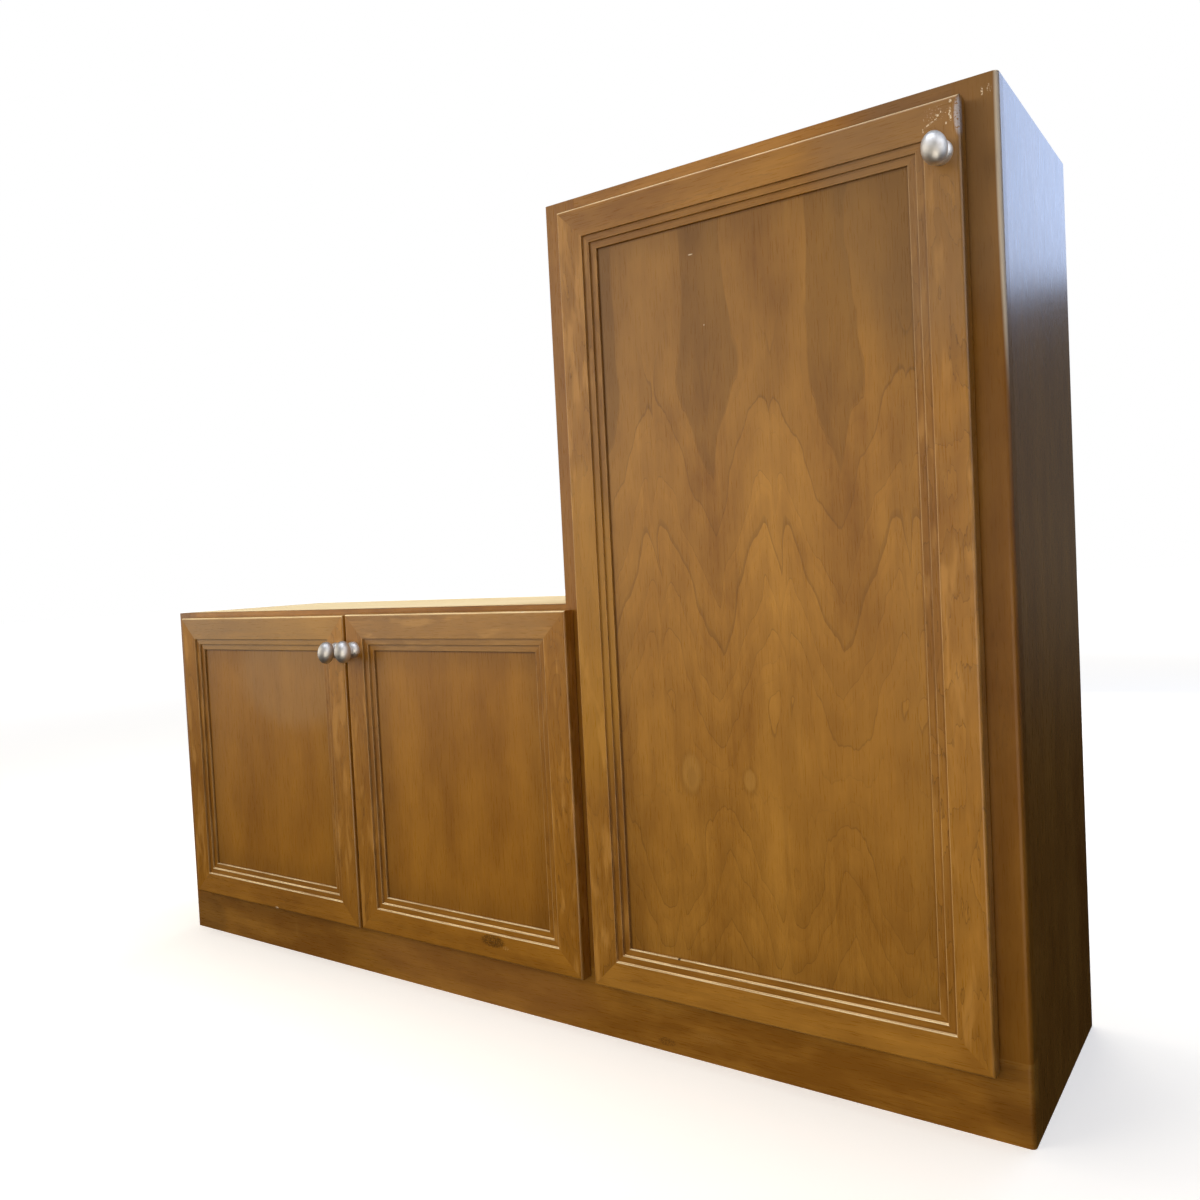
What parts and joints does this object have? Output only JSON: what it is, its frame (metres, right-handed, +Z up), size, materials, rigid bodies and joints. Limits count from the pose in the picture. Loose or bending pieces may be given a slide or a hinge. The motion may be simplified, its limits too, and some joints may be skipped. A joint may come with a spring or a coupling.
{
  "type": "stepped cabinet",
  "caption": "Stepped L-shaped face-frame cabinet: a low part with paired doors beside a tall part with a single door, framed panel doors, metal knobs and shelves inside.",
  "frame": {"origin": "on the floor under the middle of the whole cabinet, knobs included", "axes": "+Z up, doors face -Y, +X to the right of someone facing the doors, where the tall part is"},
  "size_m": [1.344, 0.3586, 1.021],
  "materials": {
    "stained_wood": "satin",
    "raw_top": "matte",
    "pale_laminate": "satin",
    "back_panel": "matte",
    "satin_nickel": "satin",
    "plated_steel": "satin",
    "soft_bumper": "soft"
  },
  "bodies": {
    "cabinet": {"frame_left_stile": "stained_wood", "frame_middle_stile": "stained_wood", "frame_right_stile": "stained_wood", "frame_low_top_rail": "stained_wood", "frame_tall_top_rail": "stained_wood", "frame_base_rail": "stained_wood", "low_left_side": "stained_wood", "tall_left_side": "stained_wood", "tall_right_side": "stained_wood", "low_bottom": "pale_laminate", "low_top": "raw_top", "low_back": "back_panel", "low_hanging_rail": "pale_laminate", "low_rear_plinth": "pale_laminate", "tall_bottom": "pale_laminate", "tall_top": "raw_top", "tall_back": "back_panel", "tall_hanging_rail": "pale_laminate", "tall_rear_plinth": "pale_laminate", "low_shelf": "pale_laminate", "tall_lower_shelf": "pale_laminate", "tall_upper_shelf": "pale_laminate", "shelf_pins": "plated_steel", "hinge_pins": "plated_steel", "hinge_plate_screws": "plated_steel", "low_left_door_hinge_arms": "plated_steel", "low_right_door_hinge_arms": "plated_steel", "tall_door_hinge_arms": "plated_steel"},
    "low_left_door": {"low_left_door_left_stile": "stained_wood", "low_left_door_right_stile": "stained_wood", "low_left_door_top_rail": "stained_wood", "low_left_door_bottom_rail": "stained_wood", "low_left_door_panel": "stained_wood", "low_left_door_knob": "satin_nickel", "low_left_door_knob_screw": "plated_steel", "low_left_door_hinge_cups": "plated_steel", "low_left_door_cup_screws": "plated_steel", "low_left_door_bumpers": "soft_bumper"},
    "low_right_door": {"low_right_door_left_stile": "stained_wood", "low_right_door_right_stile": "stained_wood", "low_right_door_top_rail": "stained_wood", "low_right_door_bottom_rail": "stained_wood", "low_right_door_panel": "stained_wood", "low_right_door_knob": "satin_nickel", "low_right_door_knob_screw": "plated_steel", "low_right_door_hinge_cups": "plated_steel", "low_right_door_cup_screws": "plated_steel", "low_right_door_bumpers": "soft_bumper"},
    "tall_door": {"tall_door_left_stile": "stained_wood", "tall_door_right_stile": "stained_wood", "tall_door_top_rail": "stained_wood", "tall_door_bottom_rail": "stained_wood", "tall_door_panel": "stained_wood", "tall_door_knob": "satin_nickel", "tall_door_knob_screw": "plated_steel", "tall_door_hinge_cups": "plated_steel", "tall_door_cup_screws": "plated_steel", "tall_door_bumpers": "soft_bumper"}
  },
  "joints": [
    {"name": "low_left_door_hinge", "type": "hinge", "parent": "cabinet", "child": "low_left_door", "pos_m": [-0.6275, -0.13725, 0.299], "axis": [0, 0, -1], "range_deg": [0, 95]},
    {"name": "low_right_door_hinge", "type": "hinge", "parent": "cabinet", "child": "low_right_door", "pos_m": [0.1505, -0.13725, 0.299], "axis": [0, 0, 1], "range_deg": [0, 86]},
    {"name": "tall_door_hinge", "type": "hinge", "parent": "cabinet", "child": "tall_door", "pos_m": [0.1815, -0.13725, 0.536], "axis": [0, 0, -1], "range_deg": [0, 90]}
  ]
}
